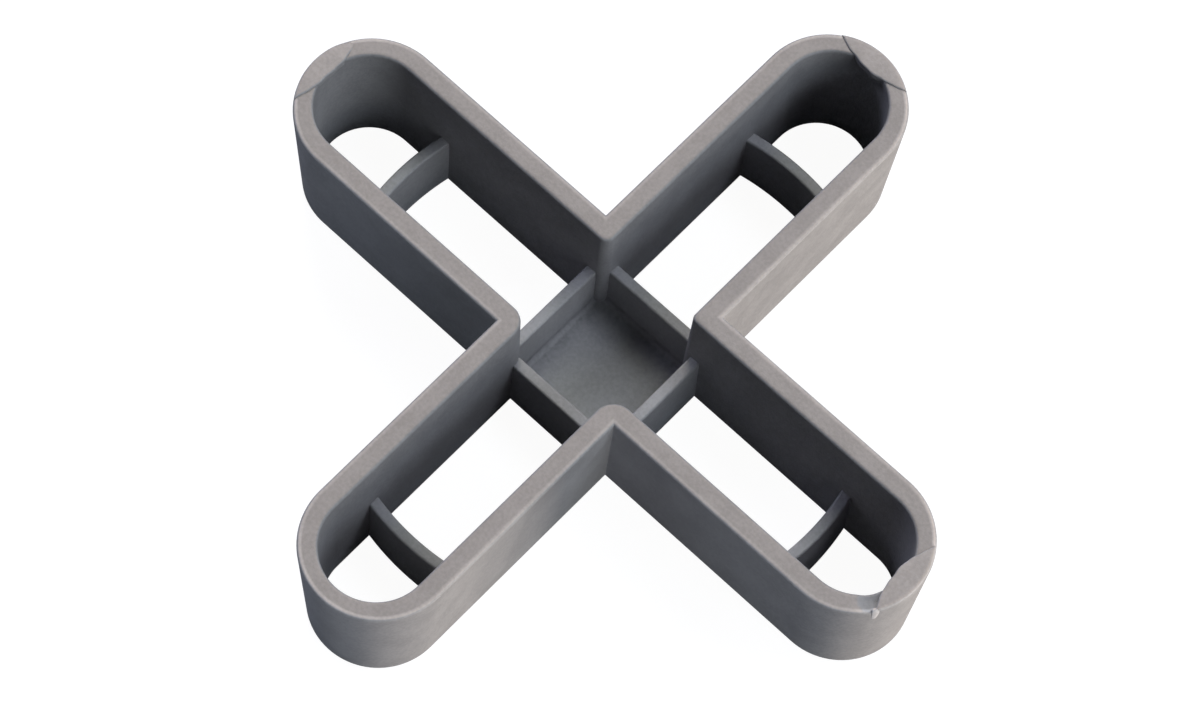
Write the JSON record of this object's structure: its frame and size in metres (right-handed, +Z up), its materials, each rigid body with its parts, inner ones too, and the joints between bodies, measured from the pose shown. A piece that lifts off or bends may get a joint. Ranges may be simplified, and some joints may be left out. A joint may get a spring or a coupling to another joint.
{
  "type": "tile spacer",
  "caption": "Hollow cross-shaped plastic tile spacer with full-round arm ends, a ribbed square box and floor web at the crossing, and a curved rib across each arm.",
  "frame": {"origin": "centre of the cross's footprint, on the surface that the spacer lies on", "axes": "+Z up through the thickness, from the floor web to the open top; +X and +Y each along an arm, and the arm along -Y is the one with no land on its tip"},
  "size_m": [0.051, 0.051, 0.0106],
  "materials": {
    "grey_plastic": "moulded, fine matte"
  },
  "bodies": {
    "root": {"cross_spacer": "grey_plastic"}
  },
  "joints": []
}
